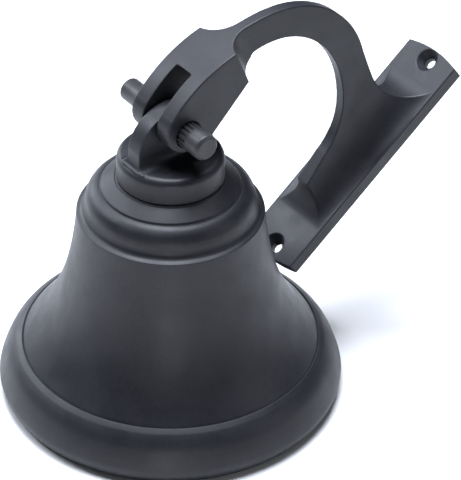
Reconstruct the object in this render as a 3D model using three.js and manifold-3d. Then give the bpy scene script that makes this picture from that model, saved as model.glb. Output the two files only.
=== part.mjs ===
// Wall-mounted yard dinner bell: a cast bell that swings on a pin in a curved bracket,
// with a clapper hung inside it. Millimetres, +Z up. The bell stands on its mouth with its
// axis upright, and the bracket lies folded over on the +Y side, its wall plate against the waist.
// Sub-parts are drawn about the bell's axis, and the whole group is moved to its origin at the end.
import * as THREE from 'three';
import { mergeVertices } from 'three/addons/utils/BufferGeometryUtils.js';
import Module from 'manifold-3d';

const wasm = await Module();
wasm.setup();

const FIT_GAP = 0.3;

// Bell shell
const MOUTH_INNER_RADIUS = 66.2;
const LIP_RADIUS = 75;
const LIP_TOP = { r: 64.95, z: 22.65 };
const WAIST_RADIUS = 37.1;
const WAIST_FLARE = 27.8;
const WAIST_DECAY = 29.4;
const WAIST_WALL = 4.8;
const LEDGE_Z = 88.5;
const CROWN_INNER_Z = 101;
const CROWN_SEAT_Z = 107.6;
const BELL_SEGMENTS = 64;

// Crown lug: a round boss with an upright fin, and a threaded spigot through the crown
const BOSS_RADIUS = 22.8;
const BOSS_TOP_Z = 119.5;
const BOSS_RIM_ROUND = 2.4;
const FIN_HALF = 3.95;
const FIN_SIDE = 18.8;
const FIN_ARC = { z: 123.5, r: 19.1 };
const FIN_FOOT_FILLET = 4;
const SPIGOT_RADIUS = 6;
const SPIGOT_END_Z = 79.5;

// Hinge pin, along X
const PIN_Z = 134.8;
const PIN_RADIUS = 5.1;
const PIN_HEAD_RADIUS = 5.7;
const PIN_FAR_X = -30.1;
const PIN_STEP_X = 4.9;
const PIN_NEAR_X = 25.8;

// Bracket
const HEAD_HALF = 12.8;
const SLOT_HALF = 5;
const SLOT_END_SUM = 164.1;
const EAR = { y: 0, z: 137.2, r: 10.7 };
const HEAD_TOP = { y: 41, z: 103.95, r: 63.45 };
const ARM_HALF = 2.7;
const ARM_OUTER = { y: 52, z: 120, r: 50 };
const ARM_INNER = { y: 51, z: 110, ry: 39.2, rz: 46 };
const ARM_BEND = { y: 58.2, z: 109.5, r: 32 };
const NECK_RADIUS = 12.4;
const NECK_TILT = THREE.MathUtils.degToRad(22.5);
const NECK_START = 97.6;

// Wall plate, in its own directions: s runs up the plate and h stands off its front face
const PLATE_TILT = THREE.MathUtils.degToRad(38);
const PLATE_BACK = { y: 101.42, z: 74.93 };
const PLATE_THICKNESS = 6.3;
const PLATE_HALF_WIDTH = 15.45;
const PLATE_HALF_LENGTH = 56.4;
const PLATE_END_RISE = 2.2;
const SCREW_S = 53;
const SCREW_RIM_RADIUS = 5.4;
const SCREW_HOLE_RADIUS = 2.5;
const SCREW_SINK_DEPTH = 3.2;
const WEB_FILLET = 12.7;
const WEB_FILLET_HEIGHT = 21;
const BLEND_INSET = 0.05;
const CREST = { s: 44.3, r: 15.5 };
const HEEL_S = -37;

// Crown fasteners, stacked down the spigot
const WASHER = { inner: 6.4, outer: 14, height: 2.4 };
const SPRING_WASHER = { inner: 6.4, outer: 10.6, height: 2.2, slit: 1.6 };
const CROWN_NUT = { flats: 19, height: 9 };

// Clapper
const FORK = { hubRadius: 9, hubHeight: 8, armInner: 4.6, armOuter: 8, armHalf: 6 };
const PIVOT_Z = 71;
const PIVOT_RADIUS = 3;
const PIVOT_HEAD = { radius: 5, height: 2.4 };
const CLIP = { inner: 2.7, outer: 5.2, height: 1, groove: 2.4, grooveWidth: 1.6 };
const ROD_RADIUS = 4;
const ROD_EYE = { radius: 6.2, half: 3.6 };
const ROD_END_Z = 4.5;
const BALL = { radius: 13, z: 22 };
const BALL_NUT = { flats: 13, height: 3.4 };

const IRON = { color: 0x2b2c30, roughness: 0.55, metalness: 0.35 };
const STEEL = { color: 0x8d9196, roughness: 0.38, metalness: 0.9 };

const group = new THREE.Group();

function toSolid(geometry) {
  geometry.deleteAttribute('normal');
  geometry.deleteAttribute('uv');
  const merged = mergeVertices(geometry, 1e-4);
  const index = merged.index.array;
  const triangles = [];
  for (let i = 0; i < index.length; i += 3) {
    const [a, b, c] = index.slice(i, i + 3);
    if (a !== b && b !== c && c !== a) {
      triangles.push(a, b, c);
    }
  }
  const mesh = new wasm.Mesh({
    numProp: 3,
    vertProperties: merged.attributes.position.array,
    triVerts: new Uint32Array(triangles),
  });
  return new wasm.Manifold(mesh);
}

function addPart(name, solid, finish) {
  const { vertProperties, triVerts } = solid.getMesh();
  const geometry = new THREE.BufferGeometry();
  geometry.setAttribute('position', new THREE.BufferAttribute(vertProperties, 3));
  geometry.setIndex(new THREE.BufferAttribute(triVerts, 1));
  geometry.computeVertexNormals();
  const mesh = new THREE.Mesh(geometry, new THREE.MeshStandardMaterial(finish));
  mesh.name = name;
  group.add(mesh);
}

// A profile of [radius, z] pairs or Vector2s turned about Z
function turned(profile, segments = 48) {
  const points = profile.map((p) => (p.isVector2 ? p : new THREE.Vector2(...p)));
  const geometry = new THREE.LatheGeometry(points, segments);
  geometry.rotateX(Math.PI / 2);
  return toSolid(geometry);
}

// A profile of [radius, x] pairs turned about an X axis at the given height
function turnedAboutX(profile, z, segments = 36) {
  const geometry = new THREE.LatheGeometry(profile.map((p) => new THREE.Vector2(...p)), segments);
  geometry.rotateZ(-Math.PI / 2);
  geometry.translate(0, 0, z);
  return toSolid(geometry);
}

// A shape drawn in (across, up) and pushed along across x up
function extruded(shape, depth, across, up, origin, curveSegments = 14) {
  const geometry = new THREE.ExtrudeGeometry(shape, { depth, bevelEnabled: false, curveSegments });
  const along = new THREE.Vector3().crossVectors(across, up);
  geometry.applyMatrix4(new THREE.Matrix4().makeBasis(across, up, along).setPosition(origin));
  return toSolid(geometry);
}

const X = new THREE.Vector3(1, 0, 0);
const Y = new THREE.Vector3(0, 1, 0);
const Z = new THREE.Vector3(0, 0, 1);

// A shape drawn in (y, z), as thick as 2 * half, centred on x = 0
function slab(shape, half) {
  return extruded(shape, 2 * half, Y, Z, new THREE.Vector3(-half, 0, 0));
}

function polygon(points) {
  return new THREE.Shape(points.map((p) => new THREE.Vector2(...p)));
}

function rod(radius, fromX, toX, z = PIN_Z) {
  return turnedAboutX([[0, fromX], [radius, fromX], [radius, toX], [0, toX]], z);
}

function drum(radius, bottom, top) {
  return turned([[0, bottom], [radius, bottom], [radius, top], [0, top]]);
}

function ring(inner, outer, bottom, height) {
  const top = bottom + height;
  return turned([[inner, bottom], [outer, bottom], [outer, top], [inner, top], [inner, bottom]]);
}

function waistRadius(z) {
  return WAIST_RADIUS + WAIST_FLARE * Math.exp(-(z - LIP_TOP.z) / WAIST_DECAY);
}

// ---- Bell shell -------------------------------------------------------------------------

function bellShell() {
  const hole = SPIGOT_RADIUS + 2 * FIT_GAP;
  const waistSteps = 9;
  const profile = [[MOUTH_INNER_RADIUS, 0.4], [67, 0], [70.5, 0]];
  const lip = new THREE.SplineCurve([
    new THREE.Vector2(72.6, 0.9), new THREE.Vector2(74.3, 3.4), new THREE.Vector2(LIP_RADIUS, 6.5),
    new THREE.Vector2(74.1, 10.1), new THREE.Vector2(71.3, 16.9), new THREE.Vector2(69, 20.3),
    new THREE.Vector2(LIP_TOP.r, LIP_TOP.z),
  ]);
  profile.push(...lip.getPoints(9).map((p) => [Math.min(p.x, LIP_RADIUS), p.y]));
  for (let i = 1; i <= waistSteps; i += 1) {
    const z = LIP_TOP.z + ((LEDGE_Z - LIP_TOP.z) * i) / waistSteps;
    profile.push([waistRadius(z), z]);
  }
  profile.push([39.65, 89.8], [39, 90.6], [36.9, 90.7], [36.5, 95.8]);
  profile.push([35.4, 97.9], [33.2, 101.3], [29.8, 103.2], [BOSS_RADIUS + 0.4, CROWN_SEAT_Z]);
  profile.push([hole, CROWN_SEAT_Z], [hole, CROWN_INNER_Z], [22, CROWN_INNER_Z]);
  profile.push([28, 98.6], [31, 94.5], [31.6, 90]);
  for (let i = waistSteps; i >= 1; i -= 1) {
    const z = LIP_TOP.z + 3 + ((82 - LIP_TOP.z) * i) / waistSteps;
    profile.push([waistRadius(z) - WAIST_WALL, z]);
  }
  profile.push([60.4, 20], [63, 11], [MOUTH_INNER_RADIUS, 0.4]);
  return turned(profile, BELL_SEGMENTS);
}

// ---- Crown lug --------------------------------------------------------------------------

// The fin: its cross-section with a fillet along each foot, trimmed to its rounded side outline
function lugFin() {
  const foot = FIN_HALF + FIN_FOOT_FILLET;
  const crossSection = new THREE.Shape();
  crossSection.moveTo(-foot, BOSS_TOP_Z - 1);
  crossSection.lineTo(foot, BOSS_TOP_Z - 1);
  crossSection.absarc(foot, BOSS_TOP_Z + FIN_FOOT_FILLET, FIN_FOOT_FILLET, -Math.PI / 2, -Math.PI, true);
  crossSection.lineTo(FIN_HALF, FIN_ARC.z + FIN_ARC.r + 1);
  crossSection.lineTo(-FIN_HALF, FIN_ARC.z + FIN_ARC.r + 1);
  crossSection.absarc(-foot, BOSS_TOP_Z + FIN_FOOT_FILLET, FIN_FOOT_FILLET, 0, -Math.PI / 2, true);
  const sideEnd = Math.acos(FIN_SIDE / FIN_ARC.r);
  const outline = new THREE.Shape();
  outline.moveTo(-FIN_SIDE, BOSS_TOP_Z - 3);
  outline.lineTo(FIN_SIDE, BOSS_TOP_Z - 3);
  outline.absarc(0, FIN_ARC.z, FIN_ARC.r, sideEnd, Math.PI - sideEnd, false);
  const start = new THREE.Vector3(0, FIN_SIDE + 1, 0);
  return extruded(crossSection, 2 * (FIN_SIDE + 1), X, Z, start, 8)
    .intersect(extruded(outline, 4 * foot, Y, Z, new THREE.Vector3(-2 * foot, 0, 0), 28));
}

function crownLug() {
  const base = CROWN_SEAT_Z + FIT_GAP;
  const profile = [[0, SPIGOT_END_Z], [SPIGOT_RADIUS - 0.8, SPIGOT_END_Z]];
  profile.push([SPIGOT_RADIUS, SPIGOT_END_Z + 0.8], [SPIGOT_RADIUS, base], [BOSS_RADIUS, base]);
  const rimSteps = 4;
  for (let i = 0; i <= rimSteps; i += 1) {
    const angle = (Math.PI / 2) * (i / rimSteps);
    const radius = BOSS_RADIUS - BOSS_RIM_ROUND * (1 - Math.cos(angle));
    profile.push([radius, BOSS_TOP_Z - BOSS_RIM_ROUND * (1 - Math.sin(angle))]);
  }
  profile.push([0, BOSS_TOP_Z]);
  return turned(profile, 56)
    .add(lugFin())
    .subtract(rod(PIN_RADIUS + FIT_GAP, -20, 20));
}

// ---- Hinge pin --------------------------------------------------------------------------

function hingePin() {
  const chamfer = 0.9;
  const nearChamfer = 1.2;
  return turnedAboutX([
    [0, PIN_FAR_X], [PIN_RADIUS - chamfer, PIN_FAR_X], [PIN_RADIUS, PIN_FAR_X + chamfer],
    [PIN_RADIUS, PIN_STEP_X], [PIN_HEAD_RADIUS, PIN_STEP_X],
    [PIN_HEAD_RADIUS, PIN_NEAR_X - nearChamfer], [PIN_HEAD_RADIUS - nearChamfer, PIN_NEAR_X],
    [0, PIN_NEAR_X],
  ], PIN_Z, 40);
}

// ---- Wall bracket -----------------------------------------------------------------------

const PLATE_UP = new THREE.Vector3(0, Math.cos(PLATE_TILT), Math.sin(PLATE_TILT));
const PLATE_OUT = new THREE.Vector3(0, -Math.sin(PLATE_TILT), Math.cos(PLATE_TILT));

// A point given up the plate and off its front face, as [y, z]
function onPlate(s, h) {
  const off = h + PLATE_THICKNESS;
  const y = PLATE_BACK.y + s * PLATE_UP.y + off * PLATE_OUT.y;
  const z = PLATE_BACK.z + s * PLATE_UP.z + off * PLATE_OUT.z;
  return [y, z];
}

// Side outline of head, arm and web, from under the ears round the inside of the arm
function sideOutline() {
  const deg = THREE.MathUtils.degToRad;
  const shape = new THREE.Shape();
  shape.moveTo(0, EAR.z - EAR.r);
  shape.lineTo(4.6, EAR.z - EAR.r);
  shape.quadraticCurveTo(9, EAR.z - EAR.r, 12.4, 130.1);
  shape.lineTo(30.5, 148.6);
  shape.lineTo(38.6, 152.5);
  shape.absellipse(ARM_INNER.y, ARM_INNER.z, ARM_INNER.ry, ARM_INNER.rz, deg(106.3), 0, true);
  shape.absarc(ARM_BEND.y, ARM_BEND.z, ARM_BEND.r, 0, deg(-45), true);
  const heel = onPlate(HEEL_S, WEB_FILLET - BLEND_INSET);
  shape.absarc(...heel, WEB_FILLET, PLATE_TILT, PLATE_TILT - Math.PI / 2, true);
  shape.lineTo(...onPlate(HEEL_S, -3));
  shape.lineTo(...onPlate(CREST.s, -3));
  const crestStart = PLATE_TILT - Math.PI / 2;
  const crest = onPlate(CREST.s, CREST.r - BLEND_INSET);
  shape.absarc(...crest, CREST.r, crestStart, crestStart - Math.PI / 2, true);
  shape.splineThru([onPlate(29.5, 22), onPlate(31.3, 28.7)].map((p) => new THREE.Vector2(...p)));
  shape.absarc(ARM_OUTER.y, ARM_OUTER.z, ARM_OUTER.r, deg(15.4), deg(90), false);
  const topStart = deg(104.6);
  const topStartY = HEAD_TOP.y + HEAD_TOP.r * Math.cos(topStart);
  const topStartZ = HEAD_TOP.z + HEAD_TOP.r * Math.sin(topStart);
  shape.bezierCurveTo(43, 170, 33.7, 167.7, topStartY, topStartZ);
  shape.absarc(HEAD_TOP.y, HEAD_TOP.z, HEAD_TOP.r, topStart, deg(140.5), false);
  shape.absarc(EAR.y, EAR.z, EAR.r, deg(140.5), deg(270), false);
  return shape;
}

// The head seen along its fillets' own axis: a block that narrows to the arm in two hollow arcs
function headPlan() {
  const shape = new THREE.Shape();
  const arcX = ARM_HALF - BLEND_INSET + NECK_RADIUS;
  const arcEnd = Math.acos((arcX - HEAD_HALF) / NECK_RADIUS);
  shape.moveTo(-HEAD_HALF, 20);
  shape.lineTo(HEAD_HALF, 20);
  shape.absarc(arcX, NECK_START, NECK_RADIUS, Math.PI + arcEnd, Math.PI, true);
  shape.absarc(-arcX, NECK_START, NECK_RADIUS, 0, -arcEnd, true);
  return shape;
}

function headBlock() {
  const up = new THREE.Vector3(0, Math.cos(NECK_TILT), Math.sin(NECK_TILT));
  const origin = new THREE.Vector3(0, -Math.sin(NECK_TILT), Math.cos(NECK_TILT)).multiplyScalar(105);
  return extruded(headPlan(), 50, X, up, origin);
}

// Cross-section of the web: a thin wall that spreads into the plate with a tall hollow each side
function webBlock() {
  const inner = ARM_HALF - BLEND_INSET;
  const foot = inner + WEB_FILLET;
  const middle = WEB_FILLET_HEIGHT - BLEND_INSET;
  const quarter = Math.PI / 2;
  const shape = new THREE.Shape();
  shape.moveTo(-foot, -2);
  shape.lineTo(foot, -2);
  shape.absellipse(foot, middle, WEB_FILLET, WEB_FILLET_HEIGHT, -quarter, -2 * quarter, true);
  shape.lineTo(inner, 40);
  shape.lineTo(-inner, 40);
  shape.absellipse(-foot, middle, WEB_FILLET, WEB_FILLET_HEIGHT, 0, -quarter, true);
  const origin = new THREE.Vector3(0, ...onPlate(60, 0));
  return extruded(shape, 120, X, PLATE_OUT, origin);
}

function wallPlate() {
  const shape = new THREE.Shape();
  const w = PLATE_HALF_WIDTH;
  const end = PLATE_HALF_LENGTH;
  const control = end + 2 * PLATE_END_RISE;
  shape.moveTo(-w, -end);
  shape.quadraticCurveTo(0, -control, w, -end);
  shape.lineTo(w, end);
  shape.quadraticCurveTo(0, control, -w, end);
  const origin = new THREE.Vector3(0, PLATE_BACK.y, PLATE_BACK.z);
  return extruded(shape, PLATE_THICKNESS, X, PLATE_UP, origin);
}

function screwHole(s) {
  const sinkEnd = PLATE_THICKNESS - SCREW_SINK_DEPTH;
  const rim = SCREW_RIM_RADIUS + (SCREW_RIM_RADIUS - SCREW_HOLE_RADIUS) / SCREW_SINK_DEPTH;
  const cutter = turned([
    [0, -1], [SCREW_HOLE_RADIUS, -1], [SCREW_HOLE_RADIUS, sinkEnd], [rim, PLATE_THICKNESS + 1],
    [0, PLATE_THICKNESS + 1],
  ], 32);
  const place = new THREE.Matrix4().makeBasis(X, PLATE_UP, PLATE_OUT);
  place.setPosition(0, PLATE_BACK.y + s * PLATE_UP.y, PLATE_BACK.z + s * PLATE_UP.z);
  return cutter.transform(place.elements);
}

function armBlock() {
  return slab(polygon([[-20, 20], [130, 20], [130, 190], [-20, 190]]), ARM_HALF);
}

function wallBracket() {
  const far = -20;
  const low = 118;
  const high = 175;
  const slot = slab(polygon([
    [far, low], [SLOT_END_SUM - low, low], [SLOT_END_SUM - high, high], [far, high],
  ]), SLOT_HALF);
  return slab(sideOutline(), PLATE_HALF_WIDTH + 1)
    .intersect(armBlock().add(webBlock()).add(headBlock()))
    .add(wallPlate())
    .subtract(slot)
    .subtract(rod(PIN_HEAD_RADIUS + FIT_GAP, 1, 20))
    .subtract(rod(PIN_RADIUS + FIT_GAP, -20, -1))
    .subtract(screwHole(SCREW_S))
    .subtract(screwHole(-SCREW_S));
}

// ---- Crown fasteners --------------------------------------------------------------------

const washerZ = CROWN_INNER_Z - FIT_GAP - WASHER.height;
const springZ = washerZ - FIT_GAP - SPRING_WASHER.height;
const nutZ = springZ - FIT_GAP - CROWN_NUT.height;
const forkTop = nutZ - FIT_GAP;

function springWasher() {
  const { inner, outer, height, slit } = SPRING_WASHER;
  const gap = polygon([
    [inner - 2, -slit / 2], [outer + 2, -slit / 2], [outer + 2, slit / 2], [inner - 2, slit / 2],
  ]);
  return ring(inner, outer, springZ, height)
    .subtract(extruded(gap, height + 2, X, Y, new THREE.Vector3(0, 0, springZ - 1)));
}

function hexNut(flats, bore, bottom, height) {
  const corner = flats / Math.sqrt(3);
  const shape = new THREE.Shape();
  for (let i = 0; i < 6; i += 1) {
    const angle = (i * Math.PI) / 3;
    shape[i === 0 ? 'moveTo' : 'lineTo'](corner * Math.cos(angle), corner * Math.sin(angle));
  }
  shape.holes.push(new THREE.Path().absarc(0, 0, bore, 0, 2 * Math.PI, true));
  return extruded(shape, height, X, Y, new THREE.Vector3(0, 0, bottom), 32);
}

// ---- Clapper ----------------------------------------------------------------------------

function clapperFork() {
  const { hubRadius, hubHeight, armInner, armOuter, armHalf } = FORK;
  const hubBottom = forkTop - hubHeight;
  const outline = new THREE.Shape();
  outline.moveTo(armHalf, hubBottom + 1);
  outline.lineTo(-armHalf, hubBottom + 1);
  outline.absarc(0, PIVOT_Z, armHalf, Math.PI, 2 * Math.PI, false);
  const arms = slab(outline, armOuter);
  const between = polygon([
    [-12, PIVOT_Z - 12], [12, PIVOT_Z - 12], [12, hubBottom], [-12, hubBottom],
  ]);
  return drum(hubRadius, hubBottom, forkTop)
    .add(arms.subtract(slab(between, armInner)))
    .subtract(drum(SPIGOT_RADIUS + FIT_GAP, SPIGOT_END_Z - 2, forkTop + 1))
    .subtract(rod(PIVOT_RADIUS + FIT_GAP, -12, 12, PIVOT_Z));
}

function clapperPin() {
  const headX = FORK.armOuter + FIT_GAP;
  const grooveX = -headX - CLIP.grooveWidth;
  const endX = grooveX - 1.6;
  return turnedAboutX([
    [0, endX], [PIVOT_RADIUS, endX], [PIVOT_RADIUS, grooveX], [CLIP.groove, grooveX],
    [CLIP.groove, -headX], [PIVOT_RADIUS, -headX], [PIVOT_RADIUS, headX], [PIVOT_HEAD.radius, headX],
    [PIVOT_HEAD.radius, headX + PIVOT_HEAD.height], [0, headX + PIVOT_HEAD.height],
  ], PIVOT_Z);
}

function pinClip() {
  const x = -FORK.armOuter - 2 * FIT_GAP - CLIP.height;
  const { inner, outer, height } = CLIP;
  const profile = [[inner, x], [outer, x], [outer, x + height], [inner, x + height], [inner, x]];
  return turnedAboutX(profile, PIVOT_Z);
}

function clapperRod() {
  const shank = turned([
    [0, ROD_END_Z], [ROD_RADIUS - 0.6, ROD_END_Z], [ROD_RADIUS, ROD_END_Z + 0.6],
    [ROD_RADIUS, PIVOT_Z - 4], [0, PIVOT_Z - 4],
  ], 32);
  return shank
    .add(rod(ROD_EYE.radius, -ROD_EYE.half, ROD_EYE.half, PIVOT_Z))
    .subtract(rod(PIVOT_RADIUS + FIT_GAP, -12, 12, PIVOT_Z));
}

function clapperBall() {
  const bore = ROD_RADIUS + FIT_GAP;
  const start = Math.acos(bore / BALL.radius);
  const profile = [];
  for (let i = 0; i <= 12; i += 1) {
    const angle = -start + (2 * start * i) / 12;
    profile.push([BALL.radius * Math.cos(angle), BALL.z + BALL.radius * Math.sin(angle)]);
  }
  profile.push(profile[0]);
  return turned(profile, 32);
}

const ballBottom = BALL.z - Math.sqrt(BALL.radius ** 2 - (ROD_RADIUS + FIT_GAP) ** 2);

addPart('wall_bracket', wallBracket(), IRON);
addPart('hinge_pin', hingePin(), IRON);
addPart('bell_shell', bellShell(), IRON);
addPart('crown_lug', crownLug(), IRON);
addPart('crown_washer', ring(WASHER.inner, WASHER.outer, washerZ, WASHER.height), STEEL);
addPart('spring_washer', springWasher(), STEEL);
addPart('crown_nut', hexNut(CROWN_NUT.flats, SPIGOT_RADIUS + FIT_GAP, nutZ, CROWN_NUT.height), STEEL);
addPart('clapper_fork', clapperFork(), STEEL);
addPart('clapper_pin', clapperPin(), STEEL);
addPart('pin_clip', pinClip(), STEEL);
addPart('clapper_rod', clapperRod(), STEEL);
addPart('clapper_ball', clapperBall(), IRON);
addPart('ball_nut', hexNut(
  BALL_NUT.flats,
  ROD_RADIUS + FIT_GAP,
  ballBottom - 2 * FIT_GAP - BALL_NUT.height,
  BALL_NUT.height,
), STEEL);

// The origin is the middle of the whole part's footprint, on the surface that it stands on.
const box = new THREE.Box3().setFromObject(group);
group.position.y = -(box.min.y + box.max.y) / 2;

export default group;
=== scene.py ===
import math

import bmesh
import bpy
from mathutils import Matrix, Vector


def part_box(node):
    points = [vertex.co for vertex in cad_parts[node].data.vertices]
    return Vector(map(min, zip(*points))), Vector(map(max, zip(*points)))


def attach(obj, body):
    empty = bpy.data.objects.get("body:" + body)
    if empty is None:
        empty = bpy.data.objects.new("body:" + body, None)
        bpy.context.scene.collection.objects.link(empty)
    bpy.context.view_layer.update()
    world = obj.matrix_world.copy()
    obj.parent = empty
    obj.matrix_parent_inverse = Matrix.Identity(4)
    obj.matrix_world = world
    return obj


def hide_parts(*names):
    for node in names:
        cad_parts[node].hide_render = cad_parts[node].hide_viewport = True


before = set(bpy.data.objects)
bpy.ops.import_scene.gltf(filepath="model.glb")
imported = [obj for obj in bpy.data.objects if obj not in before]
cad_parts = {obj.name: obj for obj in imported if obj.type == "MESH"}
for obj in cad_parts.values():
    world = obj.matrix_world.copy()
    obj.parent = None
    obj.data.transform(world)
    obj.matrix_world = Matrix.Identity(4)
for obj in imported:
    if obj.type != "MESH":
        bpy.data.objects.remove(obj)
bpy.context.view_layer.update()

shell_low, shell_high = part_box("bell_shell")
pin_low, pin_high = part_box("hinge_pin")

MM = 0.001
X = Vector((1, 0, 0))
Y = Vector((0, 1, 0))
Z = Vector((0, 0, 1))
AXIS_Y = (shell_low.y + shell_high.y) / 2
PIN_Z = (pin_low.z + pin_high.z) / 2 / MM

# Camera, fitted to the ellipses of the lip, ledge and boss. The floor's half width is in metres.
CAMERA_AZIMUTH = math.radians(54.354)
CAMERA_ELEVATION = math.radians(36.458)
CAMERA_YAW = math.radians(1.224)
CAMERA_DISTANCE = 1193
CAMERA_AIM = Vector((0, 0, 73.5))
CAMERA_LENS, CAMERA_SENSOR = 210, 36
FLOOR_HALF = 6.0

# Softboxes, in metres: name, place, side, radiance, colour. All face LIGHT_TARGET_Z on the axis.
LIGHT_TARGET_Z = 0.08
LIGHTS = (
    ("overhead", (-0.24, 0.1, 1.3), 0.8, 19.0, (0.85, 0.90, 1.0)),
    ("left", (-1.35, -0.2, 0.5), 0.55, 9.0, (0.85, 0.91, 1.0)),
    ("left_high", (-0.98, -0.68, 1.15), 0.4, 19.0, (0.86, 0.91, 1.0)),
    ("right", (1.25, 0.85, 0.75), 0.45, 3.2, (0.90, 0.94, 1.0)),
    ("front_low", (0.52, -0.41, 0.06), 0.1, 12.0, (0.93, 0.96, 1.0)),
)
WORLD_COLOUR, WORLD_STRENGTH = (0.92, 0.95, 1.0, 1), 0.06

# Bell: curves are (radius, z) points, and corners are (radius, z, rounding)
WAIST_RADIUS, WAIST_FLARE, WAIST_DECAY = 37.1, 27.8, 29.4
WAIST_FLARE_Z = 22.65
WAIST_LOW_Z, WAIST_TOP_Z = 27, 88
WAIST_WALL = 4.8
INNER_LOW_Z, INNER_TOP_Z = 26, 84
CROWN_INNER_Z = 101.0
CROWN_SEAT_Z = 107.6
MOUTH_CORNERS = [(66.2, 0.5, 0), (66.9, 0, 0.4), (70.3, 0, 0)]
LIP_CURVE = [
    (70.3, 0), (72.6, 0.9), (74.3, 3.4), (75, 6.5), (74.1, 10.1), (72.85, 13.5), (71.3, 16.9),
    (69.5, 19.5), (67.5, 21.5), (66.3, 22.35),
]
GROOVE_CORNERS = [
    (66.3, 22.35, 0), (64.95, 23.2, 0.25), (64.55, 23.15, 0.1), (64.4, 22.9, 0.1), (64.1, 23.3, 0.1),
]
GROOVE_END_Z = 24
LEDGE_CORNERS = [(39.95, 90.1, 0.3), (39.1, 90.5, 0)]
COVE_CURVE = [
    (39.1, 90.5), (38.0, 91.05), (37.0, 92.1), (36.5, 93.8), (36.3, 95.6), (35.7, 97.9), (34.4, 100.2),
    (32.6, 101.8), (30.8, 102.7),
]
CROWN_CORNERS = [
    (30.8, 102.7, 0), (30.0, 102.65, 0.3), (29.4, 103.6, 0.5), (23.9, 107.1, 0.3), (23.3, 107.15, 0.2),
    (22.9, CROWN_SEAT_Z, 0.1), (20, CROWN_SEAT_Z, 0),
]
INNER_CROWN_CORNERS = [(25.5, CROWN_INNER_Z, 3), (31.3, 95, 5), (31.9, 86, 0)]
INNER_LIP_CURVE = [(58.1, 26), (60.4, 20), (63.0, 11), (65.4, 3.0), (66.2, 0.5)]

# Crown lug
BOSS_RADIUS = 22.8
BOSS_TOP_Z = 119.5
BOSS_RIM_ROUND = 3.4
FIN_HALF = 3.95
FIN_SIDE = 18.8
FIN_ARC_Z, FIN_ARC_R = 123.5, 19.1
FIN_FOOT_FILLET = 4.2
FIN_FOOT_REACH = 2.2
FOOT_LIMIT = 21.6
FOOT_SINK = 1.3
SPIGOT_RADIUS = 6.0
SPIGOT_END_Z = 79.5
SPIGOT_BEVEL = 1.0
LUG_VOXEL, LUG_SMOOTHING = 0.28, 3

# Hinge pin
PIN_RADIUS = 5.1
PIN_HEAD_RADIUS = 5.7
PIN_STEP_X = 4.9
PIN_FACE_RINGS = [3.4, 2.2, 1.0]
RIB_START, RIB_END = 5.5, 17.6
RIB_COUNT, RIB_DEPTH = 16, 0.7
FIT_GAP = 0.3

# Bracket
HEAD_HALF = 12.8
SLOT_HALF = 5.0
SLOT_END_SUM = 164.1
ARM_HALF = 2.7
NECK_RADIUS = 12.4
NECK_TILT = math.radians(22.5)
NECK_START = 97.6
PLATE_TILT = math.radians(38)
PLATE_BACK = Vector((0, 101.42, 74.93))
PLATE_THICKNESS = 6.3
PLATE_HALF_WIDTH = 15.45
PLATE_HALF_LENGTH = 56.4
PLATE_END_RISE = 2.2
PLATE_UP = Vector((0, math.cos(PLATE_TILT), math.sin(PLATE_TILT)))
PLATE_OUT = Vector((0, -math.sin(PLATE_TILT), math.cos(PLATE_TILT)))
SCREW_S = 53.0
WEB_FILLET = 12.7
WEB_FILLET_HEIGHT = 21.0
BLEND_INSET = 0.05
CREST_S, CREST_R = 44.3, 15.5
HEEL_S = -37.0
BRACKET_VOXEL, BRACKET_SMOOTHING = 0.34, 2
SCREW_HOLE_CORNERS = [
    (0, -1), (2.5, -1), (2.5, 3.1), (6.3, PLATE_THICKNESS + 1), (0, PLATE_THICKNESS + 1),
]

BALL_BORE = 4.3


# ---- Camera, floor and lights ---------------------------------------------------------------

def spot(x, y, z):
    """A point in millimetres about the bell's axis, as a place in the frame, in metres."""
    return Vector((x * MM, AXIS_Y + y * MM, z * MM))


def make_camera():
    back = Vector((
        math.sin(CAMERA_AZIMUTH) * math.cos(CAMERA_ELEVATION),
        -math.cos(CAMERA_AZIMUTH) * math.cos(CAMERA_ELEVATION),
        math.sin(CAMERA_ELEVATION),
    ))
    right = Z.cross(back).normalized()
    up = back.cross(right)
    turned_back = back * math.cos(CAMERA_YAW) - right * math.sin(CAMERA_YAW)
    turned_right = up.cross(turned_back)
    data = bpy.data.cameras.new("camera")
    data.sensor_width = CAMERA_SENSOR
    data.lens = CAMERA_LENS
    data.clip_start = 0.05
    data.clip_end = 50
    camera = bpy.data.objects.new("camera", data)
    turn = Matrix((turned_right, up, turned_back)).transposed()
    place = spot(*(CAMERA_AIM + back * CAMERA_DISTANCE))
    camera.matrix_world = Matrix.Translation(place) @ turn.to_4x4()
    bpy.context.collection.objects.link(camera)
    bpy.context.scene.camera = camera


def area_light(name, place, target, size, radiance, colour):
    """A square softbox whose face has the given radiance."""
    data = bpy.data.lights.new(name, "AREA")
    data.shape = "SQUARE"
    data.size = size
    data.energy = radiance * math.pi * size * size
    data.color = colour
    light = bpy.data.objects.new(name, data)
    light.location = place
    light.rotation_euler = (Vector(target) - Vector(place)).to_track_quat("-Z", "Y").to_euler()
    bpy.context.collection.objects.link(light)


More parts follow.
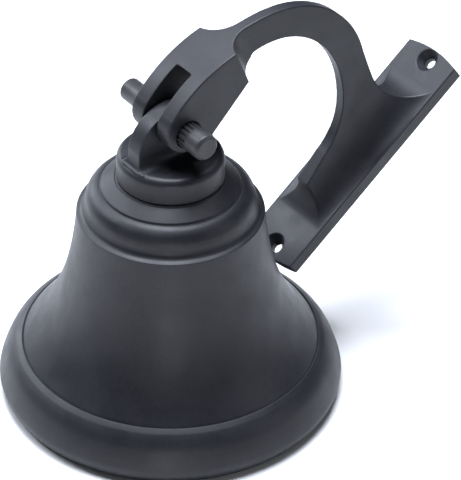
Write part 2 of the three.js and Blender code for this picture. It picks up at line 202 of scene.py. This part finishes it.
def make_stage():
    mesh = bpy.data.meshes.new("floor")
    corners = [(x * FLOOR_HALF, y * FLOOR_HALF, 0) for x, y in ((-1, -1), (1, -1), (1, 1), (-1, 1))]
    mesh.from_pydata(corners, [], [(0, 1, 2, 3)])
    floor = bpy.data.objects.new("floor", mesh)
    material = bpy.data.materials.new("floor")
    material.use_nodes = True
    shader = material.node_tree.nodes["Principled BSDF"]
    shader.inputs["Base Color"].default_value = (0.9, 0.9, 0.9, 1)
    shader.inputs["Roughness"].default_value = 0.9
    shader.inputs["Specular IOR Level"].default_value = 0.1
    mesh.materials.append(material)
    bpy.context.collection.objects.link(floor)

    for name, place, size, radiance, colour in LIGHTS:
        area_light(name, place, (0, AXIS_Y, LIGHT_TARGET_Z), size, radiance, colour)

    world = bpy.data.worlds.new("studio")
    world.use_nodes = True
    background = world.node_tree.nodes["Background"]
    background.inputs["Color"].default_value = WORLD_COLOUR
    background.inputs["Strength"].default_value = WORLD_STRENGTH
    bpy.context.scene.world = world
    bpy.context.scene.view_settings.view_transform = "Standard"


# ---- Materials ------------------------------------------------------------------------------

# A mix node has sockets for numbers, vectors and colours, and these are the colour ones
MIX_BASE, MIX_TOP, MIX_RESULT = 6, 7, 2
FLECK_LIFT = 1.7


def add_node(tree, kind, **values):
    """A new node with its input sockets set: From_Min=0.3 sets the socket From Min."""
    node = tree.nodes.new(kind)
    for key, value in values.items():
        node.inputs[key.replace("_", " ")].default_value = value
    return node


def noise(tree, scale, detail, roughness=0.55):
    """Noise in the object's own coordinates. The scale is in features per metre."""
    coordinates = tree.nodes.get("coordinates")
    if coordinates is None:
        coordinates = tree.nodes.new("ShaderNodeTexCoord")
        coordinates.name = "coordinates"
    node = add_node(tree, "ShaderNodeTexNoise", Scale=scale, Detail=detail, Roughness=roughness)
    tree.links.new(coordinates.outputs["Object"], node.inputs["Vector"])
    return node.outputs["Fac"]


def ramp(tree, source, low, high, start, end):
    """A colour ramp from one colour at start to another at end."""
    node = tree.nodes.new("ShaderNodeValToRGB")
    node.color_ramp.elements[0].position = start
    node.color_ramp.elements[0].color = (*low, 1)
    node.color_ramp.elements[1].position = end
    node.color_ramp.elements[1].color = (*high, 1)
    tree.links.new(source, node.inputs["Fac"])
    return node.outputs["Color"]


def spread(tree, source, low, high, start=0.3, end=0.7):
    """Takes a source's range from start to end and spreads it from low to high."""
    node = add_node(tree, "ShaderNodeMapRange", From_Min=start, From_Max=end, To_Min=low, To_Max=high)
    tree.links.new(source, node.inputs["Value"])
    return node.outputs["Result"]


def mix(tree, factor, base, top_colour):
    """The base socket's colour, covered by one colour as far as the factor says."""
    node = tree.nodes.new("ShaderNodeMix")
    node.data_type = "RGBA"
    tree.links.new(factor, node.inputs["Factor"])
    tree.links.new(base, node.inputs[MIX_BASE])
    node.inputs[MIX_TOP].default_value = top_colour
    return node.outputs[MIX_RESULT]


def bumps(tree, layers):
    """Bump nodes chained over each other: layers of (height, strength, distance)."""
    normal = None
    for height, strength, distance in layers:
        node = add_node(tree, "ShaderNodeBump", Strength=strength, Distance=distance)
        tree.links.new(height, node.inputs["Height"])
        if normal is not None:
            tree.links.new(normal, node.inputs["Normal"])
        normal = node.outputs["Normal"]
    return normal


def new_material(name):
    material = bpy.data.materials.new(name)
    material.use_nodes = True
    tree = material.node_tree
    return material, tree, tree.nodes["Principled BSDF"]


def coating(name, low, high, grain):
    """Satin black powder coat: fine orange-peel grain, faint mottling and paler flecks."""
    material, tree, shader = new_material(name)
    mottle = ramp(tree, noise(tree, 38, 4), low, high, 0.32, 0.68)
    flecks = spread(tree, noise(tree, 620, 2), 0.0, 0.35, 0.45, 0.8)
    colour = mix(tree, flecks, mottle, (*[c * FLECK_LIFT for c in high], 1))
    tree.links.new(colour, shader.inputs["Base Color"])
    tree.links.new(spread(tree, noise(tree, 90, 4), 0.40, 0.52), shader.inputs["Roughness"])
    shader.inputs["IOR"].default_value = 1.44
    layers = [(noise(tree, 30, 2), 0.25, 0.0006), (noise(tree, 1500, 2, 0.6), grain, 0.00012)]
    tree.links.new(bumps(tree, layers), shader.inputs["Normal"])
    return material


def zinc_steel():
    """Dull zinc plate with cloudy patches and a fine grain."""
    material, tree, shader = new_material("zinc_steel")
    clouds = ramp(tree, noise(tree, 120, 5), (0.34, 0.35, 0.36), (0.58, 0.58, 0.57), 0.3, 0.7)
    tree.links.new(clouds, shader.inputs["Base Color"])
    tree.links.new(spread(tree, noise(tree, 260, 4), 0.3, 0.52), shader.inputs["Roughness"])
    shader.inputs["Metallic"].default_value = 1.0
    layers = [(noise(tree, 900, 3), 0.12, 0.0001)]
    tree.links.new(bumps(tree, layers), shader.inputs["Normal"])
    return material


def bare_iron():
    """Dark cast iron with a sandy grain."""
    material, tree, shader = new_material("bare_iron")
    patches = ramp(tree, noise(tree, 95, 5), (0.07, 0.068, 0.066), (0.15, 0.147, 0.142), 0.3, 0.7)
    tree.links.new(patches, shader.inputs["Base Color"])
    tree.links.new(spread(tree, noise(tree, 400, 3), 0.45, 0.7), shader.inputs["Roughness"])
    shader.inputs["Metallic"].default_value = 0.75
    layers = [(noise(tree, 160, 4), 0.35, 0.0005), (noise(tree, 1100, 2), 0.3, 0.00015)]
    tree.links.new(bumps(tree, layers), shader.inputs["Normal"])
    return material


# ---- Mesh tools -----------------------------------------------------------------------------

def piece_from(name, verts, faces):
    """An object from points in millimetres, with doubled points merged and faces turned outwards."""
    mesh = bpy.data.meshes.new(name)
    mesh.from_pydata([spot(*v) for v in verts], [], faces)
    work = bmesh.new()
    work.from_mesh(mesh)
    bmesh.ops.remove_doubles(work, verts=work.verts, dist=1e-7)
    bmesh.ops.recalc_face_normals(work, faces=work.faces)
    work.to_mesh(mesh)
    work.free()
    obj = bpy.data.objects.new(name, mesh)
    bpy.context.collection.objects.link(obj)
    return obj


def arc(cy, cz, r, start, end, steps, rz=None):
    """Points on a circle, or on an ellipse when rz is given, between two angles in degrees."""
    rz = r if rz is None else rz
    angles = [math.radians(start + (end - start) * i / steps) for i in range(steps + 1)]
    return [(cy + r * math.cos(a), cz + rz * math.sin(a)) for a in angles]


def rounded(corners, steps=5):
    """A polyline through (a, b, radius) corners, each softened by a curve of about that radius."""
    points = []
    for i, (a, b, radius) in enumerate(corners):
        here = Vector((a, b))
        if radius <= 0 or i in (0, len(corners) - 1):
            points.append((a, b))
            continue
        before = Vector(corners[i - 1][:2]) - here
        after = Vector(corners[i + 1][:2]) - here
        half = before.angle(after) / 2
        reach = min(radius / math.tan(half), before.length * 0.48, after.length * 0.48)
        start = here + before.normalized() * reach
        end = here + after.normalized() * reach
        for k in range(steps + 1):
            t = k / steps
            p = start * (1 - t) ** 2 + here * (2 * t * (1 - t)) + end * t * t
            points.append((p.x, p.y))
    return points


def turned(name, profile, segments, about="Z", height=0.0, closed=False, waver=None):
    """A profile of (radius, distance along the axis) turned about Z, or about an X axis at a height."""
    verts, rings = [], []
    for r, along in profile:
        count = 1 if r < 1e-6 else segments
        rings.append(list(range(len(verts), len(verts) + count)))
        for k in range(count):
            angle = 2 * math.pi * k / segments
            radius = r if waver is None else waver(r, along, angle)
            a, b = radius * math.cos(angle), radius * math.sin(angle)
            verts.append((a, b, along) if about == "Z" else (along, a, b + height))
    pairs = list(zip(rings, rings[1:])) + ([(rings[-1], rings[0])] if closed else [])
    faces = []
    for low, high in pairs:
        for k in range(segments):
            n = (k + 1) % segments
            if len(low) > 1 and len(high) > 1:
                faces.append((low[k], low[n], high[n], high[k]))
            elif len(low) > 1:
                faces.append((low[k], low[n], high[0]))
            elif len(high) > 1:
                faces.append((low[0], high[n], high[k]))
    return piece_from(name, verts, faces)


def pushed(name, outline, across, up, origin, depth):
    """A closed outline in (across, up), pushed along across x up from origin."""
    along = across.cross(up)
    base = [origin + across * a + up * b for a, b in outline]
    count = len(base)
    verts = [tuple(p) for p in base] + [tuple(p + along * depth) for p in base]
    faces = [tuple(range(count)), tuple(range(2 * count - 1, count - 1, -1))]
    faces += [(k, (k + 1) % count, (k + 1) % count + count, k + count) for k in range(count)]
    return piece_from(name, verts, faces)


def slab(name, outline, half):
    """An outline in (y, z), as thick as 2 * half, centred on x = 0."""
    return pushed(name, outline, Y, Z, Vector((-half, 0, 0)), 2 * half)


def settle(obj):
    """Turns an object's modifiers into its mesh."""
    graph = bpy.context.evaluated_depsgraph_get()
    mesh = bpy.data.meshes.new_from_object(obj.evaluated_get(graph))
    obj.modifiers.clear()
    old = obj.data
    obj.data = mesh
    bpy.data.meshes.remove(old)


def combine(obj, operation, *tools):
    """Joins an object with each tool in turn, or cuts it by them. The tools are used up."""
    for tool in tools:
        modifier = obj.modifiers.new("combine", "BOOLEAN")
        modifier.operation = operation
        modifier.solver = "EXACT"
        modifier.object = tool
        bpy.context.view_layer.update()
        settle(obj)
        bpy.data.objects.remove(tool)
    return obj


def cast_skin(obj, voxel, passes):
    """Gives a cut solid the even skin and softened edges of a casting."""
    remesh = obj.modifiers.new("skin", "REMESH")
    remesh.mode = "VOXEL"
    remesh.voxel_size = voxel * MM
    smooth = obj.modifiers.new("soften", "SMOOTH")
    smooth.factor = 0.5
    smooth.iterations = passes
    bpy.context.view_layer.update()
    settle(obj)


def dress(obj, material, body, node):
    """Finishes a piece: its material, its body, and the CAD node that it stands for."""
    obj.data.materials.clear()
    obj.data.materials.append(material)
    obj.data.shade_smooth()
    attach(obj, body)
    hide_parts(node)


# ---- Bell -----------------------------------------------------------------------------------

def waist_radius(z):
    return WAIST_RADIUS + WAIST_FLARE * math.exp(-(z - WAIST_FLARE_Z) / WAIST_DECAY)


def waist(start, end, steps, inset=0.0):
    """Points down or up the waist between two heights, both included."""
    heights = [start + (end - start) * i / steps for i in range(steps + 1)]
    return [(waist_radius(z) - inset, z) for z in heights]


def spline(points, steps):
    """A Catmull-Rom curve through the points."""
    ends = [points[0], *points, points[-1]]
    out = []
    for i in range(len(points) - 1):
        a, b, c, d = (Vector(p) for p in ends[i:i + 4])
        for k in range(steps):
            t = k / steps
            square = (2 * a - 5 * b + 4 * c - d) * t * t
            cube = (3 * b - a - 3 * c + d) * t ** 3
            p = 0.5 * (2 * b + (c - a) * t + square + cube)
            out.append((p.x, p.y))
    return out + [tuple(points[-1])]


def bell_profile():
    hole = SPIGOT_RADIUS + 2 * FIT_GAP
    waist_start = (waist_radius(WAIST_LOW_Z), WAIST_LOW_Z, 0)
    waist_end = (waist_radius(WAIST_TOP_Z), WAIST_TOP_Z, 0)
    outer = rounded(MOUTH_CORNERS)
    outer += spline(LIP_CURVE, 6)[1:]
    outer += rounded(GROOVE_CORNERS + [(waist_radius(GROOVE_END_Z), GROOVE_END_Z, 0.3), waist_start])[1:]
    outer += waist(WAIST_LOW_Z, WAIST_TOP_Z, 48)[1:]
    outer += rounded([waist_end, *LEDGE_CORNERS])[1:]
    outer += spline(COVE_CURVE, 6)[1:]
    outer += rounded(CROWN_CORNERS)[1:]
    inner = [(hole, CROWN_SEAT_Z), (hole, CROWN_INNER_Z)]
    inner += rounded([(hole, CROWN_INNER_Z, 0), *INNER_CROWN_CORNERS])[1:]
    inner += waist(INNER_TOP_Z, INNER_LOW_Z, 40, WAIST_WALL)
    inner += spline(INNER_LIP_CURVE, 6)[1:-1]
    return outer + inner


def make_bell(black):
    bell = turned("bell_body", bell_profile(), 300, closed=True)
    dress(bell, black, "bell", "bell_shell")


# ---- Crown lug ------------------------------------------------------------------------------

def fin_foot():
    """The fillet round the fin's foot, stacked up from the boss top as sharp-cornered rectangles."""
    sweep = [math.pi / 2 * i / 10 for i in range(11)]
    levels = [(1.0, -FOOT_SINK)]
    levels += [(1 - math.sin(a), FIN_FOOT_FILLET * (1 - math.cos(a))) for a in sweep]
    verts, rows = [], []
    for out, rise in levels:
        x = FIN_HALF + FIN_FOOT_FILLET * out
        y = FIN_SIDE + FIN_FOOT_REACH * out
        rows.append(list(range(len(verts), len(verts) + 4)))
        verts += [(x, y, BOSS_TOP_Z + rise), (-x, y, BOSS_TOP_Z + rise)]
        verts += [(-x, -y, BOSS_TOP_Z + rise), (x, -y, BOSS_TOP_Z + rise)]
    faces = [tuple(rows[0]), tuple(reversed(rows[-1]))]
    for low, high in zip(rows, rows[1:]):
        faces += [(low[k], low[(k + 1) % 4], high[(k + 1) % 4], high[k]) for k in range(4)]
    return piece_from("foot", verts, faces)


def round_tool(radius, start, end):
    """A cutter along the hinge pin's axis, from one x to another."""
    return turned("tool", [(0, start), (radius, start), (radius, end), (0, end)], 96, "X", PIN_Z)


def make_lug(black):
    base = CROWN_SEAT_Z + FIT_GAP
    profile = [(0, SPIGOT_END_Z), (SPIGOT_RADIUS - SPIGOT_BEVEL, SPIGOT_END_Z)]
    profile += [(SPIGOT_RADIUS, SPIGOT_END_Z + SPIGOT_BEVEL)]
    profile += rounded([(SPIGOT_RADIUS, base, 0), (BOSS_RADIUS, base, 0.4), (BOSS_RADIUS, base + 2, 0)])
    profile += arc(BOSS_RADIUS - BOSS_RIM_ROUND, BOSS_TOP_Z - BOSS_RIM_ROUND, BOSS_RIM_ROUND, 0, 90, 12)
    profile += [(0, BOSS_TOP_Z)]
    lug = turned("lug_casting", profile, 160)
    side_end = math.degrees(math.acos(FIN_SIDE / FIN_ARC_R))
    outline = [(-FIN_SIDE, BOSS_TOP_Z - 3), (FIN_SIDE, BOSS_TOP_Z - 3)]
    outline += arc(0, FIN_ARC_Z, FIN_ARC_R, side_end, 180 - side_end, 80)
    low, high = 110, 150
    trim = turned("trim", [(0, low), (FOOT_LIMIT, low), (FOOT_LIMIT, high), (0, high)], 128)
    combine(lug, "UNION", combine(fin_foot(), "INTERSECT", trim), slab("fin", outline, FIN_HALF))
    combine(lug, "DIFFERENCE", round_tool(PIN_RADIUS + FIT_GAP, -20, 20))
    cast_skin(lug, LUG_VOXEL, LUG_SMOOTHING)
    dress(lug, black, "bell", "crown_lug")


# ---- Hinge pin ------------------------------------------------------------------------------

def make_pin(pin_black):
    far_x = pin_low.x / MM
    near_x = pin_high.x / MM
    rib_floor = PIN_RADIUS + 0.5
    profile = [(0, far_x)] + [(r, far_x) for r in reversed(PIN_FACE_RINGS)]
    profile += rounded([
        (4.0, far_x, 0), (PIN_RADIUS - 0.9, far_x, 0.4), (PIN_RADIUS, far_x + 0.9, 0.4),
        (PIN_RADIUS, PIN_STEP_X, 0),
    ])
    head_end = near_x - 1.6
    profile += [(PIN_HEAD_RADIUS, PIN_STEP_X + (head_end - PIN_STEP_X) * i / 60) for i in range(61)]
    profile += rounded([
        (PIN_HEAD_RADIUS, near_x - 1.5, 0), (PIN_HEAD_RADIUS - 0.1, near_x - 1.1, 0.4),
        (PIN_HEAD_RADIUS - 1.2, near_x, 0.3), (4.2, near_x, 0),
    ])[1:]
    profile += [(r, near_x) for r in PIN_FACE_RINGS] + [(0, near_x)]

    def ribs(r, along, angle):
        fade = min(1.0, max(0.0, along - RIB_START) / 0.8, max(0.0, RIB_END - along) / 1.6)
        groove = 0.5 - 0.5 * math.cos(RIB_COUNT * angle)
        return r - fade * RIB_DEPTH * groove ** 3 if r > rib_floor else r

    pin = turned("bell_pin", profile, 192, "X", PIN_Z, waver=ribs)
    dress(pin, pin_black, "bracket", "hinge_pin")


# ---- Wall bracket ---------------------------------------------------------------------------

def on_plate(s, h):
    """The (y, z) of a point s along the plate from its middle and h above its front face."""
    p = PLATE_BACK + PLATE_UP * s + PLATE_OUT * (h + PLATE_THICKNESS)
    return p.y, p.z


def bezier(points, steps):
    """A cubic curve between its end points, pulled by the other two, without the first point."""
    out = []
    a, b, c, d = (Vector(p) for p in points)
    for k in range(1, steps + 1):
        t = k / steps
        p = a * (1 - t) ** 3 + b * 3 * t * (1 - t) ** 2 + c * 3 * t * t * (1 - t) + d * t ** 3
        out.append((p.x, p.y))
    return out


def side_outline():
    """The bracket seen along the pin, without its plate: a closed line that starts under the pin."""
    tilt = math.degrees(PLATE_TILT)
    # Underside of the head, up to the corner of the neck
    outline = [(0, 126.5), (4.6, 126.5)]
    outline += bezier([(4.6, 126.5), (7.5, 126.5), (10.1, 127.7), (12.4, 130.1)], 10)
    outline += [(30.5, 148.6)]
    outline += rounded([(30.5, 148.6, 0), (38.6, 152.5, 1.5), (40.0, 154.15, 0)])[1:-1]
    # Inside of the arm's curve, down to the heel of the web
    outline += arc(51, 110, 39.2, 106.3, 0, 56, 46)
    outline += arc(58.2, 109.5, 32, 0, -45, 24)
    outline += arc(*on_plate(HEEL_S, WEB_FILLET - BLEND_INSET), WEB_FILLET, tilt, tilt - 90, 20)
    # Along the plate, then up the crest of the web to the outside of the arm
    outline += [on_plate(HEEL_S, -3), on_plate(CREST_S, -3)]
    outline += arc(*on_plate(CREST_S, CREST_R - BLEND_INSET), CREST_R, tilt - 90, tilt - 180, 20)
    outer = arc(52, 120, 50, 15.4, 90, 40)
    outline += spline([outline[-1], on_plate(29.5, 22), on_plate(31.3, 28.7), outer[0]], 6)[1:-1]
    outline += outer
    # Top of the head, and round the ears
    top = arc(41, 103.95, 63.45, 104.6, 140.5, 24)
    outline += bezier([outer[-1], (43, 170), (33.7, 167.7), top[0]], 14)[:-1]
    outline += top
    outline += arc(0, 137.2, 10.7, 140.5, 270, 30)[:-1]
    return outline


def head_block():
    """The head, with the two hollows that narrow it to the arm."""
    reach = ARM_HALF - BLEND_INSET + NECK_RADIUS
    turn = math.degrees(math.acos((reach - HEAD_HALF) / NECK_RADIUS))
    outline = [(HEAD_HALF, 20), *arc(reach, NECK_START, NECK_RADIUS, 180 + turn, 180, 20)]
    outline += [(-x, e) for x, e in reversed(outline)]
    up = Vector((0, math.cos(NECK_TILT), math.sin(NECK_TILT)))
    origin = Vector((0, -math.sin(NECK_TILT), math.cos(NECK_TILT))) * 105
    return pushed("head", outline, X, up, origin, 50)


def web_block():
    """The arm's foot, flared into the plate by a fillet on each side."""
    inner = ARM_HALF - BLEND_INSET
    foot = inner + WEB_FILLET
    side = arc(foot, WEB_FILLET_HEIGHT - BLEND_INSET, WEB_FILLET, -90, -180, 28, WEB_FILLET_HEIGHT)
    outline = [(foot, -2), *side, (inner, 40)]
    outline += [(-x, h) for x, h in reversed(outline)]
    return pushed("web", outline, X, PLATE_OUT, Vector((0, *on_plate(60, 0))), 120)


def wall_plate():
    across = [1 - i / 12 for i in range(25)]
    end = [(PLATE_HALF_WIDTH * t, PLATE_HALF_LENGTH + PLATE_END_RISE * (1 - t * t)) for t in across]
    outline = end + [(-x, -s) for x, s in end]
    return pushed("plate", outline, X, PLATE_UP, PLATE_BACK, PLATE_THICKNESS)


def screw_tool(s):
    """A screw hole's cutter, standing on the plate's back."""
    tool = turned("tool", SCREW_HOLE_CORNERS, 64)
    place = Matrix((X, PLATE_UP, PLATE_OUT)).transposed().to_4x4()
    seat = spot(*(PLATE_BACK + PLATE_UP * s))
    tool.data.transform(Matrix.Translation(seat) @ place @ Matrix.Translation(-spot(0, 0, 0)))
    return tool


def make_bracket(black):
    low, high, far = 118, 175, -20
    slot_outline = [(far, low), (SLOT_END_SUM - low, low), (SLOT_END_SUM - high, high), (far, high)]
    slot = slab("slot", slot_outline, SLOT_HALF)
    bracket = slab("bracket_casting", [(-20, 20), (130, 20), (130, 190), (-20, 190)], ARM_HALF)
    combine(bracket, "UNION", web_block(), head_block())
    combine(bracket, "INTERSECT", slab("outline", side_outline(), PLATE_HALF_WIDTH + 1))
    combine(bracket, "UNION", wall_plate())
    combine(
        bracket, "DIFFERENCE", slot,
        round_tool(PIN_HEAD_RADIUS + FIT_GAP, 1, 20), round_tool(PIN_RADIUS + FIT_GAP, -20, -1),
        screw_tool(SCREW_S), screw_tool(-SCREW_S),
    )
    cast_skin(bracket, BRACKET_VOXEL, BRACKET_SMOOTHING)
    dress(bracket, black, "bracket", "wall_bracket")


# ---- Fasteners and clapper ------------------------------------------------------------------

def bevelled_copy(name, node, width):
    """A CAD node's shape as a new piece with softened edges."""
    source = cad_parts[node]
    mesh = source.data.copy()
    obj = bpy.data.objects.new(name, mesh)
    bpy.context.collection.objects.link(obj)
    work = bmesh.new()
    work.from_mesh(mesh)
    bmesh.ops.remove_doubles(work, verts=work.verts, dist=1e-6)
    bmesh.ops.dissolve_limit(work, angle_limit=math.radians(2), verts=work.verts, edges=work.edges)
    work.to_mesh(mesh)
    work.free()
    bevel = obj.modifiers.new("bevel", "BEVEL")
    bevel.width = width * MM
    bevel.segments = 3
    bevel.limit_method = "ANGLE"
    bevel.angle_limit = math.radians(35)
    bpy.context.view_layer.update()
    settle(obj)
    return obj


def make_hardware(steel, iron):
    for name, node, width, body in (
        ("flat_washer", "crown_washer", 0.3, "bell"),
        ("split_washer", "spring_washer", 0.25, "bell"),
        ("lug_nut", "crown_nut", 0.5, "bell"),
        ("fork_casting", "clapper_fork", 0.4, "bell"),
        ("pivot_pin", "clapper_pin", 0.3, "bell"),
        ("retaining_ring", "pin_clip", 0.2, "bell"),
        ("clapper_shaft", "clapper_rod", 0.4, "clapper"),
        ("end_nut", "ball_nut", 0.35, "clapper"),
    ):
        obj = bevelled_copy(name, node, width)
        dress(obj, steel, body, node)
        obj.data.set_sharp_from_angle(angle=math.radians(40))
    low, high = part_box("clapper_ball")
    radius = (high.x - low.x) / 2 / MM
    middle = (low.z + high.z) / 2 / MM
    bore = math.degrees(math.acos(BALL_BORE / radius))
    profile = arc(0, middle, radius, -bore, bore, 40)
    profile += [(BALL_BORE, profile[-1][1] - 1), (BALL_BORE, profile[0][1] + 1)]
    ball = turned("clapper_weight", profile, 96, closed=True)
    dress(ball, iron, "clapper", "clapper_ball")


make_camera()
make_stage()
black_coat = coating("black_coat", (0.009, 0.0095, 0.013), (0.015, 0.0155, 0.020), 0.16)
pin_coat = coating("pin_coat", (0.020, 0.020, 0.022), (0.034, 0.034, 0.036), 0.2)
make_bell(black_coat)
make_lug(black_coat)
make_pin(pin_coat)
make_bracket(black_coat)
make_hardware(zinc_steel(), bare_iron())
